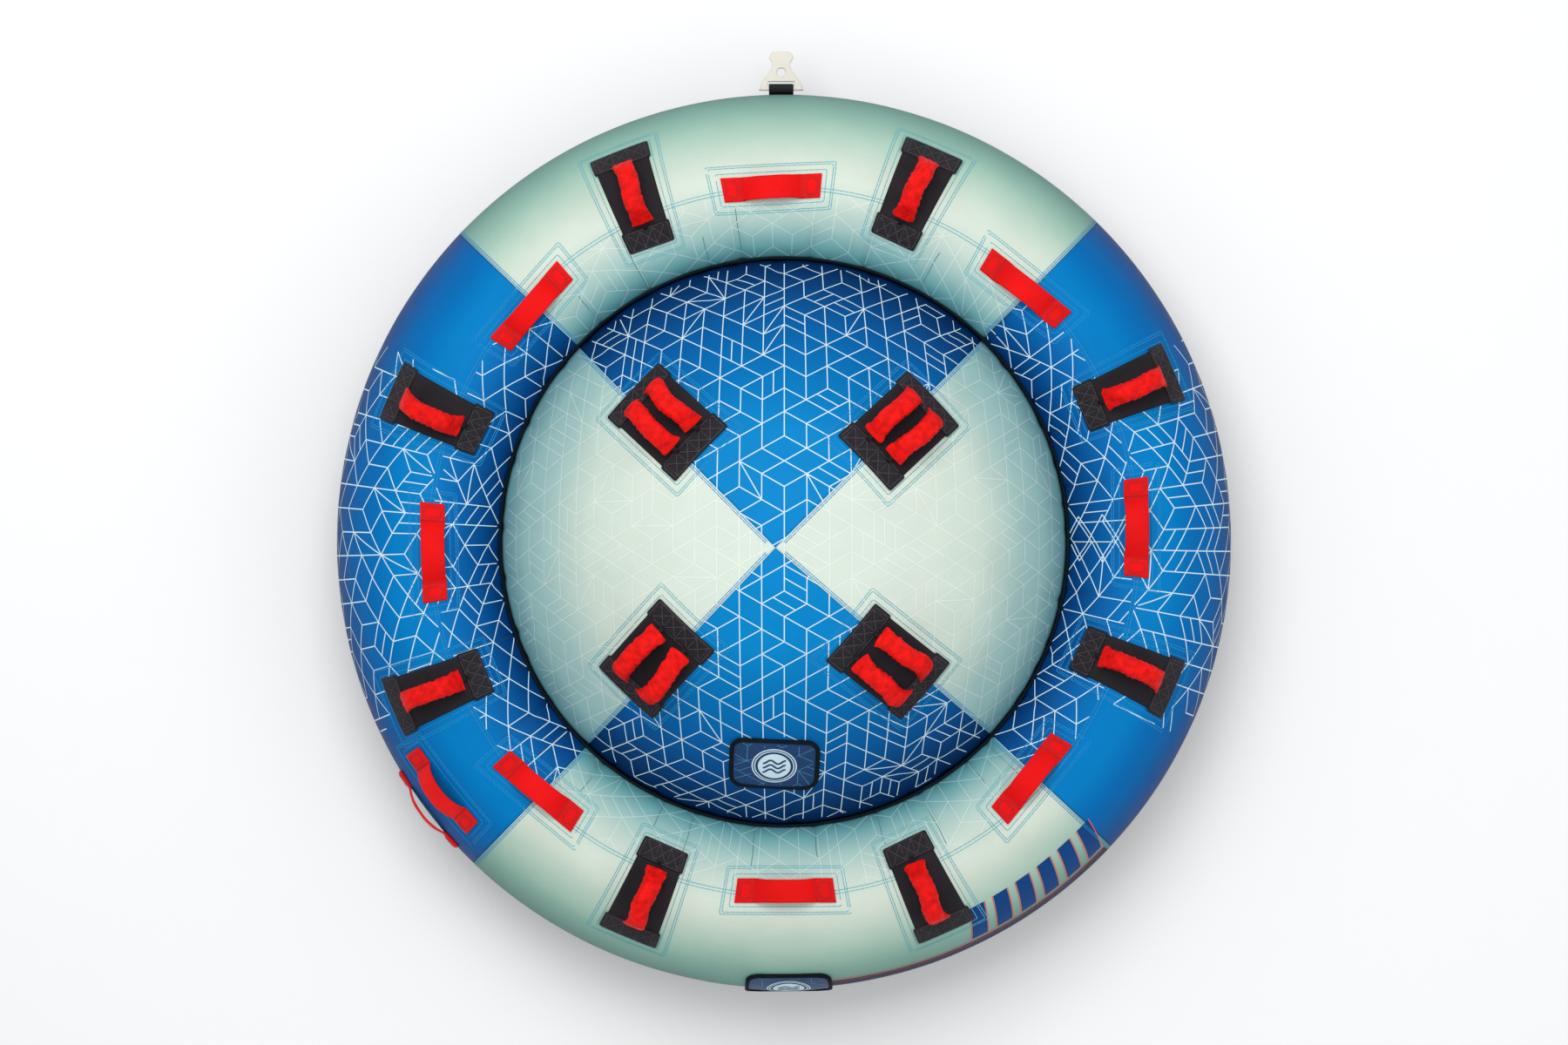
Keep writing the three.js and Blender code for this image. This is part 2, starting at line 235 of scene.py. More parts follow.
def reach_from_centre(s):
    return s.math("DIVIDE", reach_and_height(s)[0], FADE_REACH)


def at_angle(stops):
    return [((deg + FADE_FROM) / FADE_SPAN, linear(rgb)) for deg, rgb in stops]


def at_reach(stops):
    return [(reach / FADE_REACH, linear(rgb)) for reach, rgb in stops]


# colour ramp by section angle or reach: part printed fade, part painted shade
def print_and_shade_fabric(name, where, stops):
    s = Shader(name, 0.45, 0.05)
    s.colour(s.tint(s.ramp(where(s), stops), s.noise(9, 4), 0.96, 1.03))
    s.bump((s.noise(7, 3), 0.0045), (s.noise(45, 4), 0.0006), (s.weave(190), 0.00016))
    s.rough(s.noise(18, 4), 0.38, 0.55)
    return s.mat


# fading print with painted shade, darker into the seam groove and down the outer wall where light
# falls less: (section angle or reach from the axis, sRGB)
MINT_RING = [(-39, (56, 116, 126)), (-31, (108, 164, 168)), (-20, (160, 194, 188)),
             (-6, (196, 213, 202)), (6, (209, 221, 208)), (15, (203, 216, 201)),
             (33, (170, 199, 183)), (48, (139, 178, 164)),
             (60, (120, 160, 149)), (72, (98, 140, 132)), (90, (64, 106, 104))]
BLUE_RING = [(-39, (0, 44, 96)), (-28, (0, 70, 132)), (-12, (0, 98, 168)), (5, (0, 122, 192)),
             (18, (0, 122, 190)), (33, (0, 106, 176)), (46, (0, 98, 167)), (60, (0, 80, 146)),
             (72, (2, 60, 120)), (90, (2, 34, 78))]
MINT_DOME = [(0.0, (210, 222, 210)), (0.30, (208, 220, 207)), (0.40, (198, 214, 202)),
             (0.49, (156, 190, 186)), (0.535, (144, 184, 182)), (0.584, (92, 142, 152))]
BLUE_DOME = [(0.0, (4, 130, 198)), (0.22, (4, 128, 194)), (0.33, (0, 112, 178)),
             (0.45, (0, 88, 154)), (0.52, (2, 64, 122)), (0.584, (4, 34, 76))]


def lighter(stops, share):
    return [(at, tuple(c + (255 - c) * share for c in rgb)) for at, rgb in stops]


mint_ring = print_and_shade_fabric("mint_ring_print_and_shade", section_angle, at_angle(MINT_RING))
blue_ring = print_and_shade_fabric("blue_ring_print_and_shade", section_angle, at_angle(BLUE_RING))
mint_dome = print_and_shade_fabric("mint_dome_print_and_shade", reach_from_centre, at_reach(MINT_DOME))
blue_dome = print_and_shade_fabric("blue_dome_print_and_shade", reach_from_centre, at_reach(BLUE_DOME))


def plain(name, rgb, roughness, low=0.92, high=1.06, grain=(260, 0.0003), weave=None, blotch=14,
          spec=0.5, **sockets):
    """One colour, blotched from low to high; grain and weave are (scale, bump in metres)."""
    s = Shader(name, roughness, spec, **sockets)
    s.colour(s.tint(linear(rgb), s.noise(blotch, 5), low, high))
    layers = [(s.noise(grain[0], 2), grain[1])]
    if weave:
        layers.append((s.weave(weave[0]), weave[1]))
    s.bump(*layers)
    s.rough(s.noise(60, 3), max(0.05, roughness - 0.08), min(1, roughness + 0.08))
    return s.mat


line_white = plain("print_line_white", (200, 226, 236), 0.55, 0.95, 1.03, spec=0.1)
# faint print lines are lighter copies of the ring and dome ramps, so they carry the same painted
# shade
faint_ring = print_and_shade_fabric("print_line_faint_ring_and_shade", section_angle,
                            at_angle(lighter(MINT_RING, 0.30)))
faint_dome = print_and_shade_fabric("print_line_faint_dome_and_shade", reach_from_centre,
                            at_reach(lighter(MINT_DOME, 0.34)))
thread_mint = plain("thread_on_mint", (104, 178, 190), 0.6, spec=0.1)
thread_blue = plain("thread_on_blue", (40, 142, 200), 0.6, spec=0.1)
# dark strips laid along the inner flank's creases: painted shade
crease_shade_mint = plain("painted_crease_shade_on_mint", (58, 112, 118), 0.6)
crease_shade_blue = plain("painted_crease_shade_on_blue", (0, 44, 92), 0.6)
# red thread colour, also used for the painted fold shadow strips on the webbing handles
thread_and_fold_shadow_red = plain("thread_and_fold_shadow_red", (150, 12, 14), 0.7)
thread_grey = plain("thread_grey", (72, 66, 74), 0.6, spec=0.2)
red_webbing = plain("red_webbing", (240, 12, 14), 0.6, 0.86, 1.04, weave=(160, 0.0005),
                    spec=0.12)
# the deep, fine-grained dark end of the blotch is painted fold shade on the sleeve, over the red's
# own tone variation
red_sleeve = plain("red_sleeve", (248, 16, 10), 0.62, 0.62, 1.06, grain=(75, 0.0036),
                   weave=(240, 0.0003), blotch=70, spec=0.14)
black_pad = plain("black_neoprene", (30, 26, 31), 0.8, 0.75, 1.25, grain=(420, 0.0005), spec=0.25)
black_band = plain("black_band", (24, 20, 25), 0.5, 0.75, 1.3, grain=(110, 0.0016),
                   weave=(300, 0.0004), spec=0.32)
black_webbing = plain("black_webbing", (28, 26, 30), 0.6, 0.8, 1.2, weave=(170, 0.0005),
                      spec=0.3)
piping = plain("black_piping", (10, 20, 26), 0.8, 0.8, 1.2, grain=(200, 0.0006), spec=0.1)
navy_flap = plain("navy_flap", (16, 58, 104), 0.5, 0.9, 1.08, weave=(190, 0.0002), spec=0.25)
navy_base = plain("navy_base", (30, 44, 70), 0.6, 0.85, 1.1, weave=(120, 0.0005), blotch=6)
navy_print = plain("navy_print", (22, 36, 70), 0.5, 0.92, 1.06, spec=0.06)
bar_print = plain("bar_print", (14, 66, 128), 0.5, 0.92, 1.06, spec=0.06)
orange_print = plain("orange_print", (232, 88, 56), 0.5, 0.94, 1.05, spec=0.1)
flap_line = plain("flap_line", (74, 132, 176), 0.5, 0.94, 1.05, spec=0.1)
hook_plastic = plain("hook_plastic", (212, 206, 192), 0.42, 0.95, 1.02, grain=(90, 0.0003),
                     Coat_Weight=0.15)
valve_plastic = plain("valve_plastic", (208, 210, 206), 0.4, 0.94, 1.03, grain=(120, 0.0002))
zip_tape = plain("zip_tape", (24, 25, 30), 0.75, 0.8, 1.2, weave=(260, 0.0003))
zip_tooth = plain("zip_tooth", (40, 41, 46), 0.35, 0.9, 1.1)
vinyl = plain("bladder_vinyl", (58, 72, 88), 0.3, 0.9, 1.1, grain=(60, 0.0004))
floor_mat = plain("floor", (250, 250, 250), 0.9, 0.995, 1.0, grain=(5, 0.0001))


# ---- surfaces ----
rng = random.Random(11)
GATHERS = [(k * 10.6 + rng.uniform(-3, 3), rng.uniform(0.0014, 0.0056), rng.uniform(0.0065, 0.0115),
            rng.uniform(-22, -4)) for k in range(34)]
DOME_GATHERS = [(k * 9.0 + rng.uniform(-3, 3), rng.uniform(0.0010, 0.0036),
                 rng.uniform(0.008, 0.014)) for k in range(40)]


def around(deg, centre):
    return rad((deg - centre + 180) % 360 - 180)


def ring_relief(az, phi):
    """How far the taut fabric stands off the true ring, in metres."""
    deg, p = degrees(az), degrees(phi)
    q = RING_R + RING_r * sin(phi)
    d = 0.0005 * rough_at(cos(az) * 6, sin(az) * 6, phi * 3)
    d -= 0.0008 * exp(-((p / 1.0) ** 2))
    if p < 0:
        for centre, depth, width, top in GATHERS:
            x = around(deg, centre) * q
            if abs(x) < 3 * width:
                d -= depth * exp(-((x / width) ** 2)) * ease(-top, -top + 18, -p)
        d += 0.0030 * ease(12, 34, -p) * rough_at(cos(az) * 9, sin(az) * 9, p * 0.05)
    return d


def ring_at(az, phi, h=0.0, follow=True):
    off = RING_r + h + (ring_relief(az, phi) if follow else 0.0)
    q = RING_R + off * sin(phi)
    return Vector((q * cos(az), q * sin(az), RING_r + off * cos(phi)))


SEAM_ENDS = [(DOME_EDGE * cos(rad(a)), DOME_EDGE * sin(rad(a))) for a in SEAM_AZ]


def dome_relief(x, y):
    reach, deg = hypot(x, y), degrees(atan2(y, x))
    d = 0.0006 * rough_at(x * 7, y * 7, 0.3)
    if reach > 0.44:
        for centre, depth, width in DOME_GATHERS:
            s = around(deg, centre) * reach
            if abs(s) < 3 * width:
                d -= depth * exp(-((s / width) ** 2)) * ease(0.46, 0.58, reach)
    return d


def dome_at(x, y, h=0.0, follow=True):
    """(x, y) is where the point on the true dome stands; h lifts it along the normal."""
    up = sqrt(DOME_RHO ** 2 - x * x - y * y)
    k = (DOME_RHO + h + (dome_relief(x, y) if follow else 0.0)) / DOME_RHO
    return Vector((x * k, y * k, DOME_Z + up * k))


def ring_chart(az_deg, phi_deg, turn_deg=0.0, radial_first=False):
    az, phi, turn = rad(az_deg), rad(phi_deg), -rad(turn_deg)
    q = RING_R + RING_r * sin(phi)

    def chart(s, w, h=0.0, follow=False):
        a, b = (-w, s) if radial_first else (s, w)
        t = a * cos(turn) - b * sin(turn)
        m = a * sin(turn) + b * cos(turn)
        straight = m + t * t * cos(phi) / (2 * q)
        return ring_at(az + t / q, phi + straight / RING_r, h, follow)
    return chart


def wrapped(radius, az=0.0):
    """Flat strip wrapped round the ring at that radius."""
    return lambda x, y, h: ring_at(az + x / radius, y / RING_r, h)


def dome_chart(az_deg, reach, turn_deg=0.0, radial_first=False):
    az, turn, tilt = rad(az_deg), -rad(turn_deg), asin(reach / DOME_RHO)
    n = Vector((sin(tilt) * cos(az), sin(tilt) * sin(az), cos(tilt)))
    t = Vector((-sin(az), cos(az), 0))
    m = t.cross(n)

    def chart(s, w, h=0.0, follow=False):
        p, q = (-w, s) if radial_first else (s, w)
        a = p * cos(turn) - q * sin(turn)
        b = p * sin(turn) + q * cos(turn)
        length = hypot(a, b) or 1e-9
        u = n * cos(length / DOME_RHO) + (t * a + m * b) * (sin(length / DOME_RHO) / length)
        return dome_at(u.x * DOME_RHO, u.y * DOME_RHO, h, follow)
    return chart


def shifted(chart, along):
    return lambda s, w, h=0.0, follow=False: chart(s + along, w, h, follow)


def raised(chart, along, lift):
    return lambda x, y, h: chart(x + along, y, h + LIFT + lift)


# ---- mesh helpers ----
def mesh_object(name, verts, faces, mats, uvs=None, body="tube", smooth=True, picks=None):
    mesh = bpy.data.meshes.new(name)
    mesh.from_pydata([tuple(v) for v in verts], [], faces)
    mats = mats if isinstance(mats, list) else [mats]
    for mat in mats:
        mesh.materials.append(mat)
    if uvs:
        layer = mesh.uv_layers.new(name="cloth")
        for loop in mesh.loops:
            layer.data[loop.index].uv = uvs[loop.vertex_index]
    mesh.polygons.foreach_set("use_smooth", [smooth] * len(mesh.polygons))
    if picks:
        mesh.polygons.foreach_set("material_index", picks)
    mesh.validate()
    mesh.update()
    obj = add_object(name, mesh)
    if body:
        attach(obj, body)
    return obj


def bake(obj):
    """Applies obj's modifiers to its mesh."""
    bpy.context.view_layer.update()
    graph = bpy.context.evaluated_depsgraph_get()
    mesh = bpy.data.meshes.new_from_object(obj.evaluated_get(graph))
    obj.modifiers.clear()
    obj.data = mesh
    return obj


def outward(verts, faces):
    """faces, turned if the closed shape they make is inside out."""
    volume = 0.0
    for f in faces:
        for k in range(1, len(f) - 1):
            volume += verts[f[0]].dot(verts[f[k]].cross(verts[f[k + 1]]))
    return faces if volume > 0 else [tuple(reversed(f)) for f in faces]


def slab(nu, nv, at):
    """Closed slab over a grid; at(i, j, 0) is its underside and at(i, j, 1) its top."""
    verts = [at(i, j, k) for k in range(2) for i in range(nu + 1) for j in range(nv + 1)]
    faces = []

    def n(i, j, k):
        return (k * (nu + 1) + i) * (nv + 1) + j
    for i in range(nu):
        for j in range(nv):
            faces.append((n(i, j, 1), n(i + 1, j, 1), n(i + 1, j + 1, 1), n(i, j + 1, 1)))
            faces.append((n(i, j, 0), n(i, j + 1, 0), n(i + 1, j + 1, 0), n(i + 1, j, 0)))
    for i in range(nu):
        faces.append((n(i, 0, 0), n(i + 1, 0, 0), n(i + 1, 0, 1), n(i, 0, 1)))
        faces.append((n(i + 1, nv, 0), n(i, nv, 0), n(i, nv, 1), n(i + 1, nv, 1)))
    for j in range(nv):
        faces.append((n(nu, j, 0), n(nu, j + 1, 0), n(nu, j + 1, 1), n(nu, j, 1)))
        faces.append((n(0, j + 1, 0), n(0, j, 0), n(0, j, 1), n(0, j + 1, 1)))
    return verts, outward(verts, faces)


def rounded(u, v, half_u, half_v, corner):
    du, dv = abs(u) - (half_u - corner), abs(v) - (half_v - corner)
    if du > 1e-9 and dv > 1e-9:
        f = max(du, dv) / hypot(du, dv)
        u = copysign(half_u - corner + du * f, u)
        v = copysign(half_v - corner + dv * f, v)
    return u, v


def cushion(name, chart, length, width, corner, base, top, mat, body="tube", cell=0.006,
            edge=0.004):
    """Sewn flat pad: top(u, v) is its height over base, and its rim is rolled over edge."""
    nu, nv = max(6, round(length / cell)), max(6, round(width / cell))
    uvs = []

    def at(i, j, k):
        a, b = length * (i / nu - 0.5), width * (j / nv - 0.5)
        rim = min(length / 2 - abs(a), width / 2 - abs(b))
        u, v = rounded(a, b, length / 2, width / 2, corner)
        uvs.append((u, v))
        roll = sqrt(max(0.0, 1 - (1 - min(1.0, rim / edge)) ** 2))
        return chart(u, v, base + k * (0.0008 + (top(u, v) - 0.0008) * roll))
    verts, faces = slab(nu, nv, at)
    return mesh_object(name, verts, faces, mat, uvs, body)


class Ribbons:
    """Many thin raised strips in one mesh: printed lines, stitches or strips of painted shade."""

    def __init__(self):
        self.verts, self.faces, self.uvs, self.picks = [], [], [], []

    def strip(self, points, at, width, height=0.0004, ridge=0.0, pick=0):
        """points in a flat chart; at(x, y, h) puts them on the surface."""
        start = len(self.verts)
        cols = 3 if ridge else 2
        for k, (x, y) in enumerate(points):
            ax, ay = points[max(0, k - 1)]
            bx, by = points[min(len(points) - 1, k + 1)]
            length = hypot(bx - ax, by - ay) or 1e-9
            px, py = -(by - ay) / length * width / 2, (bx - ax) / length * width / 2
            for c in range(cols):
                f = 2 * c / (cols - 1) - 1
                h = height + (ridge if c == 1 and ridge else 0.0)
                self.verts.append(at(x + px * f, y + py * f, h))
                self.uvs.append((x, y))
        for k in range(len(points) - 1):
            for c in range(cols - 1):
                a = start + k * cols + c
                self.faces.append((a, a + cols, a + cols + 1, a + 1))
                self.picks.append(pick)

    def stitches(self, points, at, width=0.0016, pick=None):
        """A row of raised stitches along a polyline."""
        dash, gap, height, ridge = 0.0100, 0.0010, 0.0003, 0.0007
        marks = [0.0]
        for (ax, ay), (bx, by) in zip(points, points[1:]):
            marks.append(marks[-1] + hypot(bx - ax, by - ay))

        def place(t):
            k = next((n for n in range(1, len(marks)) if marks[n] >= t), len(marks) - 1)
            f = (t - marks[k - 1]) / ((marks[k] - marks[k - 1]) or 1e-9)
            (ax, ay), (bx, by) = points[k - 1], points[k]
            return (ax + (bx - ax) * f, ay + (by - ay) * f)
        for n in range(int(marks[-1] / (dash + gap))):
            t = n * (dash + gap)
            run = [place(t + dash * f) for f in (0.0, 0.5, 1.0)]
            self.strip(run, at, width, height, ridge, pick(run[1]) if pick else 0)

    def build(self, name, mats, body="tube"):
        up = [f if self._up(f) else tuple(reversed(f)) for f in self.faces]
        return mesh_object(name, self.verts, up, mats, self.uvs, body, True, self.picks)

    def _up(self, f):
        a, b, c = (self.verts[i] for i in f[:3])
        n = (b - a).cross(c - a)
        inside = Vector((0, 0, 0))
        if a.xy.length > 0.59:
            inside = Vector((a.x, a.y, 0)).normalized() * RING_R + Vector((0, 0, RING_r))
        return n.dot(a - inside) > 0


def loop_path(half_u, half_v, corner, n=5):
    """Closed rounded rectangle as a list of points."""
    pts = []
    for cu, cv, start in ((1, 1, 0), (-1, 1, 90), (-1, -1, 180), (1, -1, 270)):
        for k in range(n + 1):
            a = rad(start + 90 * k / n)
            pts.append((cu * (half_u - corner) + corner * cos(a),
                        cv * (half_v - corner) + corner * sin(a)))
    return pts + pts[:1]


def tube(name, path, radius, mat, sides=10, body="tube", up=Vector((0, 0, 1))):
    """Round cord in a closed loop along points, each given as a Vector."""
    n, verts, faces = len(path), [], []
    for k, p in enumerate(path):
        t = (path[(k + 1) % n] - path[k - 1]).normalized()
        side = t.cross(up).normalized()
        lift = side.cross(t)
        for s in range(sides):
            w = 2 * pi * s / sides
            r = radius * (1 + 0.08 * noise.noise(p * 60 + Vector((s, 0, 0))))
            verts.append(p + side * (r * cos(w)) + lift * (r * sin(w)))
    for k in range(n):
        for s in range(sides):
            a, b = k * sides + s, k * sides + (s + 1) % sides
            c, d = (b + sides) % (n * sides), (a + sides) % (n * sides)
            faces.append((a, b, c, d))
    return mesh_object(name, verts, outward(verts, faces), mat, None, body)


# ---- printed cover panels ----
RING_FLAP = ring_chart(270.6, 69)
DOME_FLAP = dome_chart(267.5, 0.452)


def flap_frame(chart, depth):
    """Frame at a flap's middle, depth under the cover: downhill, sideways, outward."""
    o, n = chart(0, 0, 0), (chart(0, 0, 0.001) - chart(0, 0, 0)).normalized()
    down = chart(0, 0.0005, 0) - chart(0, -0.0005, 0)
    down = (down - n * down.dot(n)).normalized()
    side = n.cross(down)
    m = Matrix((down, side, n)).transposed().to_4x4()
    m.translation = o - n * depth
    return m


def lathe(name, profile, segments, mat, matrix=None, body="tube"):
    """Turned piece; the profile is (radius, height) pairs, closed on itself or through the axis."""
    verts, faces, rows = [], [], []
    for r, z in profile:
        if r < 1e-7:
            rows.append([len(verts)] * segments)
            verts.append(Vector((0, 0, z)))
        else:
            rows.append(list(range(len(verts), len(verts) + segments)))
            turns = [2 * pi * k / segments for k in range(segments)]
            verts += [Vector((r * cos(t), r * sin(t), z)) for t in turns]
    on_axis = profile[0][0] < 1e-7
    pairs = list(zip(rows, rows[1:])) + ([] if on_axis else [(rows[-1], rows[0])])
    for low, high in pairs:
        for k in range(segments):
            quad = [low[k], low[(k + 1) % segments], high[(k + 1) % segments], high[k]]
            face = tuple(dict.fromkeys(quad))
            if len(face) > 2:
                faces.append(face)
    faces = outward(verts, faces)
    if matrix:
        verts = [matrix @ v for v in verts]
    return mesh_object(name, verts, faces, mat, None, body)


def cut_window(panel, chart):
    cutter = lathe("cutter", [(0, -0.03), (0.052, -0.03), (0.052, 0.03), (0, 0.03)], 64, mint_ring,
                   flap_frame(chart, 0.0), None)
    cut = panel.modifiers.new("window", "BOOLEAN")
    cut.operation, cut.object, cut.solver = "DIFFERENCE", cutter, "EXACT"
    bake(panel)
    bpy.data.objects.remove(cutter)


for k, side in enumerate(SIDES):
    a0, a1 = SEAM_AZ[k], (SEAM_AZ + [SEAM_AZ[0] + 360])[k + 1]
    trim = 0.03
    nu, nv = 200, 66
    uvs = []

    def ring_grid(i, j, t, a0=a0, a1=a1):
        az = rad(a0 + trim + (a1 - a0 - 2 * trim) * i / nu)
        phi = rad(SEAM_PHI - 1.4 + (91.25 - SEAM_PHI) * j / nv)
        uvs.append((az * 0.8, phi * RING_r))
        return ring_at(az, phi, (t - 1) * 0.002)
    verts, faces = slab(nu, nv, ring_grid)
    panel = mesh_object(f"ring_panel_{side}", verts, faces, mint_ring if k % 2 else blue_ring, uvs)
    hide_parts(f"ring_cover_{side}")
    if side == "rear":
        cut_window(panel, RING_FLAP)

    m, duvs = 78, []
    ends = (rad(a0), rad(a1))

    def dome_grid(i, j, t, ends=ends):
        reach = max(i, j) / m
        turn = 0.5 if i == j else (0.5 * j / i if i > j else 1 - 0.5 * i / j)
        az = ends[0] + (ends[1] - ends[0]) * turn
        x = CROSS[0] + ((DOME_EDGE + 0.003) * cos(az) - CROSS[0]) * reach
        y = CROSS[1] + ((DOME_EDGE + 0.003) * sin(az) - CROSS[1]) * reach
        duvs.append((x, y))
        return dome_at(x, y, (t - 1) * 0.002)
    verts, faces = slab(m, m, dome_grid)
    panel = mesh_object(f"dome_panel_{side}", verts, faces, blue_dome if k % 2 else mint_dome, duvs)
    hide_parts(f"dome_cover_{side}")
    if side == "rear":
        cut_window(panel, DOME_FLAP)


# ---- printed line pattern ----
def lattice(edge, x0, y0, x1, y1, seed):
    """Random lozenges, some split, as pairs of points; sides run at 90 and +-30 degrees."""
    pick = random.Random(seed)
    rise = edge * sqrt(3) / 2
    cols, rows = int((x1 - x0) / rise) + 2, int((y1 - y0) / edge) + 2

    def node(i, j):
        return (x0 + i * rise, y0 + (j + (i % 2) / 2) * edge)

    def half(m, n):
        return ((m[0] + n[0]) / 2, (m[1] + n[1]) / 2)
    ups, downs = {}, {}
    for i in range(cols):
        for j in range(rows):
            a, b = (i, j), (i, j + 1)
            ups[(i, j)] = frozenset((a, b, (i + 1, j + i % 2)))
            downs[(i, j)] = frozenset((a, b, (i - 1, j + i % 2)))
    sides = {}
    for kind, table in (("r", ups), ("l", downs)):
        for key, tri in table.items():
            t = sorted(tri)
            for e in ((t[0], t[1]), (t[0], t[2]), (t[1], t[2])):
                sides.setdefault(e, []).append((kind, key))
    shared = [e for e, ts in sorted(sides.items()) if len(ts) == 2]
    pick.shuffle(shared)
    used, gone, extra = set(), set(), []
    for e in shared:
        a, b = sides[e]
        if a in used or b in used or pick.random() < 0.16:
            continue
        used |= {a, b}
        gone.add(e)
        tips = [next(iter((ups if kd == "r" else downs)[key] - set(e))) for kd, key in (a, b)]
        p, q = node(*e[0]), node(*e[1])
        s, t = node(*tips[0]), node(*tips[1])
        roll = pick.random()
        if roll < 0.11:
            extra.append((half(p, s), half(q, t)))
        elif roll < 0.20:
            extra.append((half(p, t), half(q, s)))
        elif roll < 0.28:
            extra.append((s, t))
    return [(node(*a), node(*b)) for a, b in sorted(sides) if (a, b) not in gone] + extra


def seam_side(x, y):
    """Which dome panel (0..3 as in SIDES) holds (x, y)."""
    angle = atan2(y - CROSS[1], x - CROSS[0])
    rays = [atan2(ey - CROSS[1], ex - CROSS[0]) for ex, ey in SEAM_ENDS]
    return max(range(4), key=lambda k: -((angle - rays[k]) % (2 * pi)))


def ring_side(deg):
    return max(range(4), key=lambda k: -((deg - SEAM_AZ[k]) % 360))


def fabric_at(deg):
    return MINT if ring_side(deg) % 2 else BLUE


def draw(lines, pens, zone, at, width=0.0024, steps=7):
    """Draws each line where zone(x, y) names a pen, and leaves it out where that is None."""
    for (ax, ay), (bx, by) in lines:
        run, pen = [], None
        for k in range(steps + 1):
            f = k / steps
            p = (ax + (bx - ax) * f, ay + (by - ay) * f)
            here = zone(*p)
            if here != pen and run:
                if pen is not None and len(run) > 1:
                    pens[pen].strip(run, at, width, 0.0004)
                run = [run[-1]] if here is not None and pen is not None else []
            pen = here
            if here is not None:
                run.append(p)
        if pen is not None and len(run) > 1:
            pens[pen].strip(run, at, width, 0.0004)


def flat_dome(x, y):
    """Arc-length polar chart to (x, y) on the dome."""
    s = hypot(x, y) or 1e-9
    k = sin(s / DOME_RHO) * DOME_RHO / s
    return x * k, y * k


white, pale_ring, pale_dome = Ribbons(), Ribbons(), Ribbons()
pens = {"white": white, "faint": pale_ring, "faint_dome": pale_dome}
window_centre = DOME_FLAP(0, 0, 0)


def dome_zone(x, y):
    fx, fy = flat_dome(x, y)
    if hypot(fx - window_centre.x, fy - window_centre.y) < 0.057:
        return None
    if hypot(fx, fy) > 0.577 or hypot(x, y) > 0.72:
        return None
    return "white" if seam_side(fx, fy) % 2 else "faint_dome"


draw(lattice(0.052, -0.72, -0.72, 0.72, 0.72, 5), pens, dome_zone,
     lambda x, y, h: dome_at(*flat_dome(x, y), h), 0.0022)


def inner_zone(x, y):
    if not rad(-38.2) < y / RING_r < rad(-0.8):
        return None
    return "faint" if ring_side(degrees(x / INNER_R)) % 2 else "white"


draw(lattice(0.052, 0, -0.150, INNER_R * 2 * pi - 0.002, 0.0, 6), pens, inner_zone,
     wrapped(INNER_R), 0.0020)
for centre in (0.0, 180.0):
    edge_rng = random.Random(int(centre) + 3)
    lines = [e for e in lattice(0.054, -0.44, 0.0, 0.44, 0.34, 7 + int(centre))
             if max(abs(e[0][0]), abs(e[1][0])) / CREST_R < rad(21) + edge_rng.uniform(0, rad(8))]
    draw(lines, pens, lambda x, y: "white" if rad(1) < y / RING_r < rad(86) else None,
         wrapped(CREST_R, rad(centre)))
white.build("printed_lines_white", line_white)
pale_ring.build("printed_lines_ring", faint_ring)
pale_dome.build("printed_lines_dome", faint_dome)

# ---- painted shade: dark strips along the creases drawn in by the piping ----
crease_shade_strips = Ribbons()
for centre, depth, width, top in GATHERS:
    if depth > 0.0022:
        low, high = rad(-37.6) * RING_r, rad(top) * RING_r
        pts = [(0.0035 * rough_at(centre, t * 0.22, 0), low + (high - low) * t / 10)
               for t in range(11)]
        crease_shade_strips.strip(pts, wrapped(CREASE_R, rad(centre)), 0.0015, 0.0003,
                      pick=fabric_at(centre))
crease_shade_strips.build("painted_crease_shade_strips", [crease_shade_mint, crease_shade_blue])

# ---- sewn seams and reinforcement frames ----
seams = Ribbons()
for off in (-0.0032, 0.0032):
    pts = [(rad(a) * RING_R, off) for a in range(0, 361, 2)]
    seams.stitches(pts, wrapped(RING_R),
                   pick=lambda m: fabric_at(degrees(m[0] / RING_R)))
for k, joint in enumerate(SEAM_AZ):
    for off in (0.0035, 0.0075):
        side = off if k % 2 else -off
        pts = [(side, rad(p) * RING_r) for p in range(-36, 89, 2)]
        seams.stitches(pts, lambda x, y, h, j=joint: ring_at(
            rad(j) + x / (RING_R + RING_r * sin(y / RING_r)), y / RING_r, h),
            pick=lambda m: BLUE)
    ex, ey = SEAM_ENDS[k]
    ux, uy = ex - CROSS[0], ey - CROSS[1]
    length = hypot(ux, uy)
    ux, uy = ux / length, uy / length
    for off in (0.0035, 0.0075):
        side = off if k % 2 else -off
        pts = [(CROSS[0] + ux * t + uy * side, CROSS[1] + uy * t - ux * side)
               for t in [0.02 + (length - 0.025) * n / 40 for n in range(41)]]
        seams.stitches(pts, dome_at, pick=lambda m: BLUE)


def frame_stitches(chart, length, width, offsets, pick):
    """Rows of stitches that frame a reinforced patch under a handle."""
    for off in offsets:
        path = loop_path(length / 2 + off, width / 2 + off, 0.003)
        seams.stitches(path, lambda x, y, h: chart(x, y, h, True), pick=pick)


def pick_ring(chart):
    return lambda m: fabric_at(degrees(atan2(*reversed(chart(*m)[:2]))))


def pick_dome(chart):
    return lambda m: BLUE if seam_side(*chart(*m)[:2]) % 2 else MINT


# ---- padded handles ----
def cells_across(width):
    return 3 if width < 0.12 else 4


def quilt(u, v, width):
    """Puffs between the crossed stitches of a band."""
    x, y = abs(u) / 0.017, ((v + width / 2 - 0.008) / (width - 0.016) * cells_across(width)) % 1
    return 0.0014 * min(1.0, 3.2 * abs(x - abs(2 * y - 1)) + 0.1) if x < 1.2 else 0.0014


